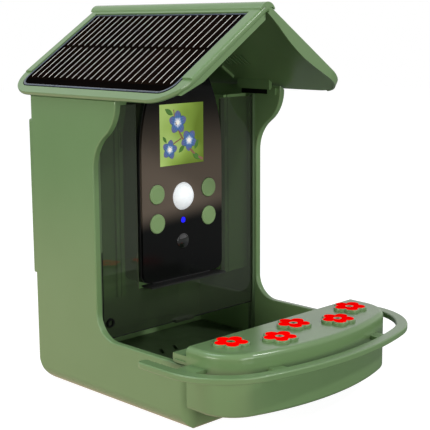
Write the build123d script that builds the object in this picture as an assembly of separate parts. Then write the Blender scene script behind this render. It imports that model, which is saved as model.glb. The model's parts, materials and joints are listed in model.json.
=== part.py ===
from build123d import *
import os
from math import atan, cos, radians, sin, sqrt, tan

# Garden bird feeder with a hopper, a gabled roof with a solar panel, a camera module and a nectar tub.
# Sizes are in millimetres. X runs to the right seen from the front, Y to the back, Z up.
# The origin is on the base, at the mouth of the threaded insert in the middle of the body.

# Body
body_width = 165.0
body_depth = 161.0
wall = 5.0
rim_height = 43.25
side_edge_y = 10.0
front_corner_r = 8.0
back_corner_r = 2.5
inner_corner_r = 1.5
base_side_r = 9.0
base_back_r = 22.0
base_front_r = 3.0
shoulder_r = 28.0
shoulder_turn = 55.7
shoulder_mid_z = 183.0
sill_r = 18.0
wall_edge_r = 1.0
gable_gap = 1.8

# Clearances, overruns and the full circle
fit_gap = 0.3
pin_gap = 0.05
overrun = 2.0
full_turn = 360.0

# Base insert and raised seed floor
thread_r = 3.175
thread_length = 8.5
insert_r = 4.75
insert_boss_r = 9.0
floor_bottom_z = 11.0
floor_thickness = 2.0
floor_rib = 2.0
floor_rib_x = 58.0
floor_rib_inset = 22.0
drain_width = 2.5
drain_length = 12.0
drain_turn = 60.0
drain_x = 6.8
drain_y = 28.5

# Seed gate and its channels
gate_y = 13.0
gate_thickness = 2.0
gate_bottom_z = 39.0
gate_top_z = 201.5
gate_strip_top_z = 69.6
channel_depth = 2.4
channel_groove = 1.6
channel_lip = 1.4
channel_top_z = 203.0
gate_ring_x = -68.8
gate_ring_z = 50.8
gate_ring_r = 3.2
gate_ring_bore_r = 1.9
gate_ring_thickness = 1.4
gate_tab_width = 18.0
gate_tab_height = 2.0
gate_tab_reach = 3.0

# Roof
ridge_z = 270.0
slope_apex_z = 269.3
slope_rise_share = 0.667
roof_front_y = -73.0
roof_back_y = 104.0
eave_nose_x = 88.0
slab_thickness = 5.0
slab_corner_r = 25.5
slab_edge_r = 2.3
cap_half_width = 6.5
cap_lift = 1.0
cap_seat_drop = 3.5
housing_drop = 5.0
housing_knee_x = 57.0
housing_end_x = 76.0
housing_end_inset = 2.5
vent_count = 6
vent_low_x = 45.5
vent_high_x = 56.0
vent_first_y = -5.0
vent_pitch = 4.3
vent_width = 2.0
vent_depth = 3.0
roof_rib_x = 66.5
roof_rib_y = 27.5
roof_rib_length = 15.5
roof_rib_width = 2.5
roof_rib_height = 2.0
skirt_inner_x = 73.5
skirt_bottom_z = 207.0
skirt_front_y = -6.5
skirt_back_y = 26.5

# Solar panel
panel_ridge_x = 8.5
panel_eave_x = 82.0
panel_front_y = -63.5
panel_back_y = 95.5
panel_thickness = 2.0
panel_sink = 1.2
panel_corner_r = 10.5
panel_gap = 0.2
eave_step_x = 69.0

# Roof hinge
hinge_y = 86.0
hinge_z = 204.0
knuckle_r = 4.0
hinge_pin_r = 1.5
knuckle_length = 10.0
body_knuckle_x = 36.0
knuckle_gap = 0.4
hinge_arm = 4.0
hinge_web_drop = 7.0

# Rear mounting plate
plate_half_width = 80.5
plate_thickness = 4.0
plate_bottom_z = 77.5
plate_top_z = 190.0
plate_corner_r = 1.5
plate_groove_depth = 1.5
plate_groove_height = 1.2
plate_groove_end = 9.5
wall_bolt_r = 2.5
wall_bolt_spacing_x = 60.0
wall_bolt_spacing_z = 70.0
wall_bolt_mid_z = 133.25
plate_screw_inset = 9.0
plate_screw_r = 1.75
plate_screw_head_r = 3.5
plate_screw_head = 2.0
plate_screw_bite = 4.0

# Camera module
module_half_width = 40.0
module_bottom_z = 72.5
module_straight_z = 165.0
module_top_z = 225.0
module_bow_r = 115.0
module_corner_r = 8.0
module_crown_r = 10.0
module_front_y = 10.3
window_thickness = 2.0
bezel_depth = 3.2
housing_depth = 7.2
gasket_thickness = 0.8
cover_depth = 7.8
module_wall = 2.2
module_back_wall = 1.2
cover_back_wall = 1.7
window_inset = 0.6
lip_reach = 6.3
lip_thickness = 1.3
lip_drop = 2.1
lip_half_width = 37.0

# Display, board and what they carry
board_y = 17.6
board_thickness = 1.6
board_half_width = 33.5
board_bottom_z = 80.0
board_top_z = 203.0
board_upper_half_width = 30.0
board_shoulder_z = 152.0
post_r = 2.2
post_x = 29.0
post_low_z = 84.0
post_high_z = 149.0
display_left_x = -22.0
display_right_x = 21.0
display_bottom_z = 156.0
display_top_z = 200.0
display_border = 1.5
display_sink = 0.15
button_r = 7.0
button_x = 25.5
button_low_z = 115.4
button_high_z = 136.5
button_proud = 0.7
button_flange_r = 8.0
button_flange = 1.0
button_stem_r = 2.0
button_travel = 0.5
button_edge_r = 0.5
switch_size = 6.0
switch_height = 1.0
pir_z = 132.7
pir_r = 9.9
pir_dome = 6.0
pir_flange_r = 11.0
pir_flange = 1.0
pir_shell = 1.2
sensor_r = 4.6
sensor_height = 3.2
led_z = 115.1
led_r = 2.1
lens_x = -0.7
lens_z = 99.5
lens_r = 6.5
lens_rim_r = 7.5
lens_rim = 1.2
ir_led_r = 1.6
ir_led_height = 3.0
ir_led_ring_r = 10.5
ir_led_count = 6
speaker_x = 21.0
speaker_z = 95.0
speaker_r = 8.5
speaker_height = 3.6
mic_x = -23.0
mic_z = 92.0
mic_r = 2.5
mic_height = 1.6

# Back of the module
battery_left_x = -28.0
battery_right_x = 16.0
battery_bottom_z = 102.0
battery_top_z = 166.0
battery_thickness = 5.6
battery_edge_r = 1.5
cover_screw_x = 33.0
cover_screw_low_z = 97.0
cover_screw_high_z = 172.0
cover_screw_r = 1.25
cover_screw_head_r = 2.6
cover_screw_head = 1.5
cover_boss_r = 3.2
port_z = 113.0
port_width = 9.0
port_height = 3.4
port_depth = 7.5
port_sink = 0.6
flap_hinge_x = 41.6
flap_hinge_z = 104.0
flap_barrel_r = 1.25
flap_pin_r = 0.6
flap_thickness = 1.4
flap_length = 15.5
flap_width = 4.4
flap_ear = 1.0
flap_ear_reach = 0.8
side_mid_gap_share = 0.45
switch_knob_z = 136.0
switch_knob_length = 4.5
switch_knob_width = 3.0
switch_knob_proud = 1.3
switch_knob_stem = 3.4
switch_travel = 4.0
card_z = 156.0
card_width = 11.0
card_length = 15.0
card_thickness = 1.0
card_proud = 1.0

# Module bracket
rail_x = 50.2
rail_width = 6.8
rail_groove_x = 53.2
rail_groove_width = 1.0
rail_groove_depth = 1.2
rail_front_y = 18.5
rail_depth = 4.0
rail_bottom_z = 66.0
rail_top_z = 203.0
rail_slot_x = 51.7
rail_slot_low_z = 171.4
rail_slot_length = 11.8
rail_slot_width = 1.6
low_bar_z = 78.0
low_bar_height = 12.0
high_bar_height = 20.0
wing_thickness = 2.0
bar_depth = 3.0
bracket_screw_x = 20.0
bracket_screw_r = 1.5
bracket_screw_head_r = 3.0
bracket_screw_head = 1.6

# Nectar tub, lid and perch
tub_half_width = 84.0
tub_front_y = -131.5
tub_bow_r = 204.0
tub_corner_r = 28.0
tub_bottom_z = 15.7
tub_wall = 2.6
tub_floor = 3.0
tub_edge_r = 2.5
seam_z = 46.3
gasket_width = 1.3
gasket_height = 1.4
hook_gap = 1.0
hook_half_width = 83.5
hook_reach = 11.6
hook_block_half_width = 82.5
hook_block_reach = 14.0
hook_block_top_z = 49.8
tongue_half_width = 70.0
tongue_thickness = 3.0
tongue_length = 14.0
lid_top_z = 56.6
lid_edge_r = 3.4
flower_outer_x = 60.0
flower_inner_x = 29.5
flower_back_y = -96.5
flower_front_y = -110.5
petal_count = 5
petal_ring_r = 6.8
petal_r = 5.4
flower_height = 1.8
flower_edge_r = 0.6
inlay_margin = 1.2
inlay_thickness = 0.8
inlay_proud = 0.2
flower_eye_r = 3.0
flower_port_r = 1.5
perch_side_reach = 22.5
perch_front_reach = 15.0
perch_bow_r = 250.0
perch_corner_r = 52.0
perch_width = 8.0
perch_top_z = 47.5
perch_thickness = 4.2
perch_end_y = -58.5
perch_edge_r = 1.0
perch_end_r = 3.8
web_front_x = 50.0
web_width = 10.0
web_side_y = -91.5
web_side_length = 14.0

# Places worked out from the sizes above
half_w = body_width / 2
half_d = body_depth / 2
inner_w = half_w - wall
inner_d = half_d - wall
slope = atan(slope_rise_share)
floor_top_z = floor_bottom_z + floor_thickness
cap_seat_z = ridge_z - cap_seat_drop
window_back_y = module_front_y + window_thickness
bezel_back_y = window_back_y + bezel_depth
housing_back_y = bezel_back_y + housing_depth
gasket_back_y = housing_back_y + gasket_thickness
cover_back_y = gasket_back_y + cover_depth
cover_inner_y = cover_back_y - cover_back_wall
inside_front_y = window_back_y + fit_gap
bar_front_y = cover_back_y + fit_gap
high_bar_z = rail_top_z - high_bar_height
tub_back_y = -half_d - fit_gap
perch_bottom_z = perch_top_z - perch_thickness
perch_half_width = tub_half_width + perch_side_reach
perch_front_y = tub_front_y - perch_front_reach
web_top_z = seam_z - fit_gap
hook_back_y = tub_back_y + hook_reach
side_mid_y = gasket_back_y + cover_depth * side_mid_gap_share
flower_places = ((-flower_outer_x, flower_back_y), (-flower_inner_x, flower_front_y), (0, flower_back_y),
                 (flower_inner_x, flower_front_y), (flower_outer_x, flower_back_y))
button_places = ((-button_x, button_high_z), (button_x, button_high_z),
                 (-button_x, button_low_z), (button_x, button_low_z))


# Boxes, prisms and rods between two named faces
def block(x_range, y_range, z_range):
    sizes = [high - low for low, high in (x_range, y_range, z_range)]
    middle = [(high + low) / 2 for low, high in (x_range, y_range, z_range)]
    return Pos(*middle) * Box(*sizes)


def prism_x(face, low, high):
    return extrude(Plane.YZ.offset(low) * face, high - low)


def prism_y(face, low, high):
    return extrude(Plane.XZ.offset(-low) * face, low - high)


def prism_z(face, low, high):
    return extrude(Plane.XY.offset(low) * face, high - low)


def rod_x(y, z, radius, low, high):
    return prism_x(Pos(y, z) * Circle(radius), low, high)


def rod_y(x, z, radius, low, high):
    return prism_y(Pos(x, z) * Circle(radius), low, high)


def rod_z(x, y, radius, low, high):
    return prism_z(Pos(x, y) * Circle(radius), low, high)


def rounded(corners):
    points = [(x, y) for x, y, radius in corners]
    radii = [radius for x, y, radius in corners]
    return make_face(FilletPolyline(*points, radius=radii, close=True))


def both_sides(solid):
    return solid + mirror(solid, about=Plane.YZ)


def slope_top_z(x, drop=0.0):
    return slope_apex_z - abs(x) * slope_rise_share - drop


# Body
def tub_form(half_x, front, back, bottom, top, radii):
    side_r, back_r, front_r, corner_front_r, corner_back_r = radii
    plan = rounded(((-half_x, front, corner_front_r), (half_x, front, corner_front_r),
                    (half_x, back, corner_back_r), (-half_x, back, corner_back_r)))
    side = rounded(((front, bottom, front_r), (back, bottom, back_r), (back, top, 0), (front, top, 0)))
    face = rounded(((-half_x, bottom, side_r), (half_x, bottom, side_r), (half_x, top, 0), (-half_x, top, 0)))
    form = prism_z(plan, bottom, top)
    form = form & prism_x(side, -half_x - overrun, half_x + overrun)
    return form & prism_y(face, front - overrun, back + overrun)


def side_edge_profile():
    # The side seen from the left: the tall part behind, the curved shoulder and sill, the low tray in front.
    turn = radians(shoulder_turn)
    run = 2 * shoulder_r * tan(turn / 2)
    low_z = shoulder_mid_z - run * cos(turn) / 2
    high_z = shoulder_mid_z + run * cos(turn) / 2
    high_y = side_edge_y - run * sin(turn)
    top = ridge_z + overrun
    return rounded(((-half_d - overrun, -overrun, 0), (half_d + overrun, -overrun, 0),
                    (half_d + overrun, top, 0), (high_y, top, 0), (high_y, high_z, shoulder_r),
                    (side_edge_y, low_z, shoulder_r), (side_edge_y, rim_height, sill_r),
                    (-half_d - overrun, rim_height, 0)))


def gable_profile():
    # The wall tops follow the underside of the roof, which is lower on the left, under the solar panel.
    under = slab_thickness / cos(slope) + gable_gap
    edge_x = half_w + overrun
    left = ((-edge_x, slope_top_z(edge_x, under)), (-housing_end_x, slope_top_z(housing_end_x, under)),
            (-housing_knee_x, slope_top_z(housing_knee_x, under + housing_drop)),
            (gable_gap, slope_top_z(0, under + housing_drop)))
    right = ((gable_gap, slope_top_z(gable_gap, under)), (edge_x, slope_top_z(edge_x, under)))
    return make_face(Polyline((edge_x, -overrun), (-edge_x, -overrun), *left, *right, close=True))


def hinge_ear(x):
    web = block((x, x + knuckle_length), (half_d, hinge_y), (hinge_z - hinge_web_drop, hinge_z))
    knuckle = rod_x(hinge_y, hinge_z, knuckle_r, x, x + knuckle_length)
    bore = rod_x(hinge_y, hinge_z, hinge_pin_r + pin_gap, x - overrun, x + knuckle_length + overrun)
    return web + knuckle - bore


def opening_edges(shell):
    # Edges of the side walls round the opening, outside and inside.
    edges = []
    for edge in shell.edges():
        low = edge.bounding_box().min
        high = edge.bounding_box().max
        beside_wall = min(abs(abs(low.X) - half_w), abs(abs(low.X) - inner_w)) < fit_gap
        along_opening = low.Z > rim_height - fit_gap and low.Y > -inner_d and high.Y < side_edge_y + fit_gap
        if high.X - low.X < fit_gap and beside_wall and along_opening:
            edges.append(edge)
    return edges


def body_shell():
    top = ridge_z + overrun
    outer = tub_form(half_w, -half_d, half_d, 0, top,
                     (base_side_r, base_back_r, base_front_r, front_corner_r, back_corner_r))
    inner = tub_form(inner_w, -inner_d, inner_d, wall, top + overrun,
                     (base_side_r - wall, base_back_r - wall, inner_corner_r, inner_corner_r, inner_corner_r))
    shell = outer - inner
    shell = shell & prism_x(side_edge_profile(), -half_w - overrun, half_w + overrun)
    shell = shell & prism_y(gable_profile(), -half_d - overrun, half_d + overrun)
    shell = fillet(opening_edges(shell), wall_edge_r)
    boss_top = floor_bottom_z - fit_gap
    shell = shell + rod_z(0, 0, insert_boss_r, wall / 2, boss_top)
    shell = shell - rod_z(0, 0, insert_r, -overrun, thread_length)
    for x, z in plate_screw_places():
        shell = shell - rod_y(x, z, plate_screw_r, half_d - plate_screw_bite, half_d + overrun)
    return shell


def body_hinges():
    return hinge_ear(body_knuckle_x) + hinge_ear(-body_knuckle_x - knuckle_length)


def base_insert():
    return rod_z(0, 0, insert_r, 0, thread_length) - rod_z(0, 0, thread_r, -overrun, thread_length + overrun)


def seed_floor():
    bend_r = base_back_r - wall
    rise = base_back_r - floor_bottom_z
    back = half_d - base_back_r + sqrt(bend_r ** 2 - rise ** 2) - fit_gap
    front = -inner_d + fit_gap
    half_x = inner_w - 2 * fit_gap
    corner = front_corner_r - wall
    plan = rounded(((-half_x, front, corner), (half_x, front, corner),
                    (half_x, back, corner), (-half_x, back, corner)))
    plate = prism_z(plan, floor_bottom_z, floor_top_z)
    slot = Box(drain_length, drain_width, 4 * floor_thickness)
    for x in (-drain_x, drain_x):
        plate = plate - Pos(x, drain_y, floor_top_z) * Rot(0, 0, drain_turn) * slot
    for x in (-floor_rib_x, floor_rib_x):
        rib = block((x - floor_rib / 2, x + floor_rib / 2), (front + floor_rib_inset, back - floor_rib_inset),
                    (wall, floor_bottom_z + floor_thickness / 2))
        plate = plate + rib
    return plate


# Seed gate: a clear plate that slides down in two black channels to close the seed outlet
def gate_channel(side):
    inner = inner_w - channel_depth
    front = gate_y - channel_lip
    back = gate_y + gate_thickness + channel_lip
    channel = block((inner, inner_w), (front, back), (floor_top_z + fit_gap, channel_top_z))
    groove = block((inner - overrun, inner + channel_groove),
                   (gate_y - fit_gap, gate_y + gate_thickness + fit_gap),
                   (floor_top_z, channel_top_z + overrun))
    channel = channel - groove
    return channel if side > 0 else mirror(channel, about=Plane.YZ)


def seed_gate():
    half_x = inner_w - channel_depth + channel_groove - fit_gap
    notch_x = module_half_width + 2 * fit_gap + gate_thickness / 2
    back = gate_y + gate_thickness
    plate = block((-half_x, half_x), (gate_y, back), (gate_bottom_z, gate_top_z))
    notch = block((-notch_x, notch_x), (gate_y - overrun, back + overrun),
                  (gate_strip_top_z, gate_top_z + overrun))
    tab = block((-gate_tab_width / 2, gate_tab_width / 2), (gate_y - gate_tab_reach, gate_y),
                (gate_bottom_z, gate_bottom_z + gate_tab_height))
    return plate - notch + tab


def gate_ring():
    ring = rod_y(gate_ring_x, gate_ring_z, gate_ring_r, gate_y - gate_ring_thickness, gate_y)
    return ring - rod_y(gate_ring_x, gate_ring_z, gate_ring_bore_r, gate_y - 2 * gate_ring_thickness, gate_y)


# Roof
def slope_plane():
    return Plane(origin=(0, 0, slope_apex_z), x_dir=(cos(slope), 0, -sin(slope)), z_dir=(sin(slope), 0, cos(slope)))


def half_roof():
    nose = eave_nose_x / cos(slope)
    outline = rounded(((-slab_corner_r, roof_front_y, 0), (nose, roof_front_y, slab_corner_r),
                       (nose, roof_back_y, slab_corner_r), (-slab_corner_r, roof_back_y, 0)))
    slab = extrude(outline, -slab_thickness)
    flat_edges = [edge for edge in slab.edges()
                  if edge.bounding_box().size.Z < slab_edge_r / 2 and edge.center().X > 0]
    slab = slope_plane() * fillet(flat_edges, slab_edge_r)
    limit = block((0, eave_nose_x + slab_thickness), (roof_front_y - overrun, roof_back_y + overrun),
                  (0, ridge_z + overrun))
    return slab & limit


def vent_slots():
    # Slots along the slope, cut up into the underside of the right slab.
    low = slab_thickness / cos(slope) + overrun
    high = slab_thickness / cos(slope) - vent_depth
    points = ((vent_low_x, slope_top_z(vent_low_x, low)), (vent_high_x, slope_top_z(vent_high_x, low)),
              (vent_high_x, slope_top_z(vent_high_x, high)), (vent_low_x, slope_top_z(vent_low_x, high)))
    outline = make_face(Polyline(*points, close=True))
    starts = [vent_first_y + index * vent_pitch for index in range(vent_count)]
    return [prism_y(outline, y, y + vent_width) for y in starts]


def roof_rib():
    # A short rib that runs down the slope under the right slab.
    lap = slab_thickness / 4
    bar = Box(roof_rib_length, roof_rib_width, roof_rib_height + lap)
    middle = -slab_thickness - (roof_rib_height - lap) / 2
    return slope_plane() * Pos(roof_rib_x / cos(slope), roof_rib_y, middle) * bar


def solar_housing():
    under = slab_thickness / cos(slope)
    lap = slab_thickness / 4
    points = ((0, slope_top_z(0, under - lap)), (0, slope_top_z(0, under + housing_drop)),
              (-housing_knee_x, slope_top_z(housing_knee_x, under + housing_drop)),
              (-housing_end_x, slope_top_z(housing_end_x, under)),
              (-housing_end_x, slope_top_z(housing_end_x, under - lap)))
    return prism_y(make_face(Polyline(*points, close=True)),
                   roof_front_y + housing_end_inset, roof_back_y - housing_end_inset)


def panel_outline(margin):
    low = panel_ridge_x / cos(slope) - margin
    high = panel_eave_x / cos(slope) + margin
    front = panel_front_y - margin
    back = panel_back_y + margin
    corner = panel_corner_r + margin
    return rounded(((low, front, 0), (high, front, corner), (high, back, corner), (low, back, 0)))


def on_left_slope(local):
    return mirror(slope_plane() * local, about=Plane.YZ)


def under_roof(x_low, x_high, z_low, lap):
    # Outline of a post from z_low up to the sloped underside of a roof slab, or a lap into it.
    drop = slab_thickness / cos(slope) - lap
    points = ((x_low, z_low), (x_high, z_low), (x_high, slope_top_z(x_high, drop)), (x_low, slope_top_z(x_low, drop)))
    return make_face(Polyline(*points, close=True))


def hinge_arm_block(x):
    arm = prism_y(under_roof(x, x + knuckle_length, hinge_z, panel_sink),
                  hinge_y - hinge_arm / 2, hinge_y + hinge_arm / 2)
    knuckle = rod_x(hinge_y, hinge_z, knuckle_r, x, x + knuckle_length)
    bore = rod_x(hinge_y, hinge_z, hinge_pin_r + pin_gap, x - overrun, x + knuckle_length + overrun)
    return arm + knuckle - bore


def roof_shell():
    right = half_roof()
    roof = right + mirror(right, about=Plane.YZ) + solar_housing()
    step_low = eave_step_x / cos(slope)
    step_high = eave_nose_x / cos(slope) + overrun
    depth_y = roof_back_y - roof_front_y
    step = Pos((step_low + step_high) / 2, (roof_front_y + roof_back_y) / 2, 0) * Box(
        step_high - step_low, depth_y + 2 * overrun, 2 * panel_sink)
    roof = roof - on_left_slope(step)
    recess = Pos(0, 0, -panel_sink - panel_thickness) * extrude(panel_outline(panel_gap), panel_thickness + overrun)
    roof = roof - on_left_slope(recess)
    cap_cut = block((-cap_half_width, cap_half_width), (roof_front_y - overrun, roof_back_y + overrun),
                    (slope_top_z(cap_half_width), ridge_z + overrun))
    seat = prism_y(cap_seat_outline(), roof_front_y - overrun, roof_back_y + overrun)
    roof = roof - (cap_cut - seat)
    for slot in vent_slots():
        roof = roof - slot
    roof = roof + roof_rib()
    reach = body_knuckle_x + knuckle_length + knuckle_gap
    for x in (reach, -reach - knuckle_length):
        roof = roof + hinge_arm_block(x)
    return roof


def cap_seat_outline():
    seat_x = (slope_apex_z - cap_seat_z) / slope_rise_share
    low_z = slope_top_z(cap_half_width)
    points = ((-cap_half_width, low_z), (-seat_x, cap_seat_z), (seat_x, cap_seat_z), (cap_half_width, low_z))
    return make_face(Polyline(*points, close=True))


def ridge_cap():
    seat_x = (slope_apex_z - cap_seat_z) / slope_rise_share
    low_z = slope_top_z(cap_half_width)
    side_z = low_z + cap_lift
    under = Polyline((cap_half_width, side_z), (cap_half_width, low_z), (seat_x, cap_seat_z),
                     (-seat_x, cap_seat_z), (-cap_half_width, low_z), (-cap_half_width, side_z))
    over = ThreePointArc((-cap_half_width, side_z), (0, ridge_z), (cap_half_width, side_z))
    return prism_y(make_face(under + over), roof_front_y, roof_back_y)


def solar_panel():
    sheet = extrude(panel_outline(0), panel_thickness)
    return on_left_slope(Pos(0, 0, -panel_sink - panel_thickness) * sheet)


def roof_skirts():
    post = prism_y(under_roof(skirt_inner_x, inner_w - 2 * fit_gap, skirt_bottom_z, panel_sink),
                   skirt_front_y, skirt_back_y)
    return both_sides(post) - roof_shell()


def hinge_pins():
    length = 2 * knuckle_length + knuckle_gap
    return both_sides(rod_x(hinge_y, hinge_z, hinge_pin_r, body_knuckle_x, body_knuckle_x + length))


# Rear mounting plate
def plate_screw_places():
    x = plate_half_width - plate_screw_inset
    return [(sx * x, z) for sx in (-1, 1)
            for z in (plate_bottom_z + plate_screw_inset, plate_top_z - plate_screw_inset)]


def rear_plate():
    back = half_d + plate_thickness
    corners = ((-plate_half_width, plate_bottom_z), (plate_half_width, plate_bottom_z),
               (plate_half_width, plate_top_z), (-plate_half_width, plate_top_z))
    plate = prism_y(rounded([(x, z, plate_corner_r) for x, z in corners]), half_d, back)
    groove = block((plate_half_width - plate_groove_depth, plate_half_width + overrun),
                   (half_d - overrun, half_d + plate_groove_height),
                   (plate_bottom_z + plate_groove_end, plate_top_z - plate_groove_end))
    plate = plate - both_sides(groove)
    for x in (-wall_bolt_spacing_x / 2, wall_bolt_spacing_x / 2):
        for z in (wall_bolt_mid_z - wall_bolt_spacing_z / 2, wall_bolt_mid_z + wall_bolt_spacing_z / 2):
            plate = plate - rod_y(x, z, wall_bolt_r, half_d - overrun, back + overrun)
    for x, z in plate_screw_places():
        plate = plate - rod_y(x, z, plate_screw_r, half_d - overrun, back + overrun)
        plate = plate - rod_y(x, z, plate_screw_head_r + fit_gap, back - plate_screw_head, back + overrun)
    return plate


def plate_screws():
    back = half_d + plate_thickness
    screws = None
    for x, z in plate_screw_places():
        screw = rod_y(x, z, plate_screw_r, half_d - plate_screw_bite, back - plate_screw_head / 2)
        screw = screw + rod_y(x, z, plate_screw_head_r, back - plate_screw_head, back)
        screws = screw if screws is None else screws + screw
    return screws


# Camera module
def module_outline(inset=0.0):
    bow_x = module_half_width - module_bow_r
    rise = module_top_z - module_straight_z
    top_x = bow_x + sqrt(module_bow_r ** 2 - rise ** 2)
    mid_x = bow_x + sqrt(module_bow_r ** 2 - (rise / 2) ** 2)
    mid_z = module_straight_z + rise / 2
    right = ThreePointArc((module_half_width, module_straight_z), (mid_x, mid_z), (top_x, module_top_z))
    left = ThreePointArc((-top_x, module_top_z), (-mid_x, mid_z), (-module_half_width, module_straight_z))
    low = Polyline((-module_half_width, module_straight_z), (-module_half_width, module_bottom_z),
                   (module_half_width, module_bottom_z), (module_half_width, module_straight_z))
    face = make_face(right + left + low + Line((top_x, module_top_z), (-top_x, module_top_z)))
    low_corners = [corner for corner in face.vertices() if corner.Y < module_bottom_z + module_corner_r]
    high_corners = [corner for corner in face.vertices() if corner.Y > module_top_z - module_corner_r]
    face = fillet(low_corners, module_corner_r)
    high_corners = [corner for corner in face.vertices()
                    if corner.Y > module_top_z - module_corner_r and abs(corner.X) > top_x - module_corner_r]
    face = fillet(high_corners, module_crown_r)
    return offset(face, amount=-inset) if inset else face


def front_window():
    panel = prism_y(module_outline(window_inset), module_front_y, window_back_y)
    low = module_front_y - overrun
    high = window_back_y + overrun
    for x, z in button_places:
        panel = panel - rod_y(x, z, button_r + fit_gap, low, high)
    panel = panel - rod_y(0, pir_z, pir_r + fit_gap, low, high)
    panel = panel - rod_y(0, led_z, led_r + fit_gap, low, high)
    return panel - block((display_left_x, display_right_x), (low, high), (display_bottom_z, display_top_z))


def module_bezel():
    ring = prism_y(module_outline(), window_back_y, bezel_back_y)
    return ring - prism_y(module_outline(module_wall), window_back_y - overrun, bezel_back_y + overrun)


def module_lip():
    # A thin lip under the window, on a neck that joins it to the underside of the bezel.
    lip_top = module_bottom_z - lip_drop + lip_thickness
    lip = block((-lip_half_width, lip_half_width), (module_front_y - lip_reach, bezel_back_y - fit_gap),
                (module_bottom_z - lip_drop, lip_top))
    neck_half = lip_half_width - module_corner_r
    neck = block((-neck_half, neck_half), (window_back_y, bezel_back_y - fit_gap),
                 (module_bottom_z - lip_drop + lip_thickness / 2, module_bottom_z))
    return lip + neck


def module_housing():
    case = prism_y(module_outline(), bezel_back_y, housing_back_y)
    inner_back = housing_back_y - module_back_wall
    case = case - prism_y(module_outline(module_wall), bezel_back_y - overrun, inner_back)
    for x in (-post_x, post_x):
        for z in (post_low_z, post_high_z):
            case = case + rod_y(x, z, post_r, board_y + board_thickness, inner_back + module_back_wall / 2)
    for x, z in cover_screw_places():
        case = case - rod_y(x, z, cover_screw_r, inner_back - overrun, housing_back_y + overrun)
    return case


def module_gasket():
    ring = prism_y(module_outline(), housing_back_y, gasket_back_y)
    return ring - prism_y(module_outline(module_wall), housing_back_y - overrun, gasket_back_y + overrun)


def cover_screw_places():
    return [(x, z) for x in (-cover_screw_x, cover_screw_x) for z in (cover_screw_low_z, cover_screw_high_z)]


def bracket_screw_places():
    low_z = low_bar_z + low_bar_height / 2
    high_z = high_bar_z + high_bar_height / 2
    return [(x, z) for x in (-bracket_screw_x, bracket_screw_x) for z in (low_z, high_z)]


def flap_ears():
    half = flap_width / 2 + pin_gap
    ears = None
    for low in (side_mid_y - half - flap_ear, side_mid_y + half):
        ear = block((module_half_width - module_wall, flap_hinge_x + flap_ear_reach), (low, low + flap_ear),
                    (flap_hinge_z - flap_barrel_r, flap_hinge_z + flap_barrel_r))
        ears = ear if ears is None else ears + ear
    pin = rod_y(flap_hinge_x, flap_hinge_z, flap_pin_r, side_mid_y - half - flap_ear, side_mid_y + half + flap_ear)
    return ears + pin


def side_slot(z_low, z_high, y_half):
    return block((module_half_width - 2 * module_wall, module_half_width + overrun),
                 (side_mid_y - y_half, side_mid_y + y_half), (z_low, z_high))


def module_cover():
    cover = prism_y(module_outline(), gasket_back_y, cover_back_y)
    cover = cover - prism_y(module_outline(module_wall), gasket_back_y - overrun, cover_inner_y)
    lap = cover_back_wall / 2
    for x, z in cover_screw_places():
        cover = cover + rod_y(x, z, cover_boss_r, gasket_back_y, cover_inner_y + lap)
        cover = cover - rod_y(x, z, cover_screw_r, gasket_back_y - overrun, cover_back_y + overrun)
    for x, z in bracket_screw_places():
        cover = cover - rod_y(x, z, bracket_screw_r, cover_inner_y - overrun, cover_back_y + overrun)
    half_port = port_width / 2 + fit_gap
    cover = cover - side_slot(port_z - half_port, port_z + half_port, port_height / 2 + fit_gap)
    half_knob = switch_knob_length / 2 + fit_gap
    cover = cover - side_slot(switch_knob_z - half_knob, switch_knob_z + half_knob + switch_travel,
                              switch_knob_width / 2 + fit_gap)
    half_card = card_width / 2 + fit_gap
    cover = cover - side_slot(card_z - half_card, card_z + half_card, card_thickness / 2 + fit_gap)
    return cover + flap_ears()


def screw_group(places, radius, head_radius, head, tip, seat):
    screws = None
    for x, z in places:
        screw = rod_y(x, z, radius, tip, seat + head / 2) + rod_y(x, z, head_radius, seat, seat + head)
        screws = screw if screws is None else screws + screw
    return screws


def cover_screws():
    return screw_group(cover_screw_places(), cover_screw_r, cover_screw_head_r, cover_screw_head,
                       housing_back_y - module_back_wall, cover_back_y)


def bracket_screws():
    return screw_group(bracket_screw_places(), bracket_screw_r, bracket_screw_head_r, bracket_screw_head,
                       cover_inner_y, bar_front_y + bar_depth)


def main_board():
    corner = post_r
    outline = rounded(((-board_half_width, board_bottom_z, corner), (board_half_width, board_bottom_z, corner),
                       (board_half_width, board_shoulder_z, corner), (board_upper_half_width, board_shoulder_z, 0),
                       (board_upper_half_width, board_top_z, corner),
                       (-board_upper_half_width, board_top_z, corner),
                       (-board_upper_half_width, board_shoulder_z, 0),
                       (-board_half_width, board_shoulder_z, corner)))
    return prism_y(outline, board_y, board_y + board_thickness)


def display():
    # The glass stands in the cutout of the window, and the frame behind it is a little larger.
    glass = block((display_left_x + pin_gap, display_right_x - pin_gap),
                  (module_front_y + display_sink, board_y - fit_gap),
                  (display_bottom_z + pin_gap, display_top_z - pin_gap))
    back = block((display_left_x - display_border, display_right_x + display_border),
                 (inside_front_y, board_y - fit_gap),
                 (display_bottom_z - display_border, display_top_z + display_border))
    return glass + back


def key_switches():
    keys = None
    for x, z in button_places:
        key = block((x - switch_size / 2, x + switch_size / 2), (board_y - switch_height, board_y),
                    (z - switch_size / 2, z + switch_size / 2))
        keys = key if keys is None else keys + key
    return keys


def button(x, z):
    front = module_front_y - button_proud
    cap = rod_y(x, z, button_r, front, inside_front_y + button_flange / 2)
    rim = [edge for edge in cap.edges() if edge.center().Y < front + button_edge_r]
    cap = fillet(rim, button_edge_r)
    flange = rod_y(x, z, button_flange_r, inside_front_y, inside_front_y + button_flange)
    stem_end = board_y - switch_height - button_travel - fit_gap
    return cap + flange + rod_y(x, z, button_stem_r, inside_front_y, stem_end)


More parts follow.
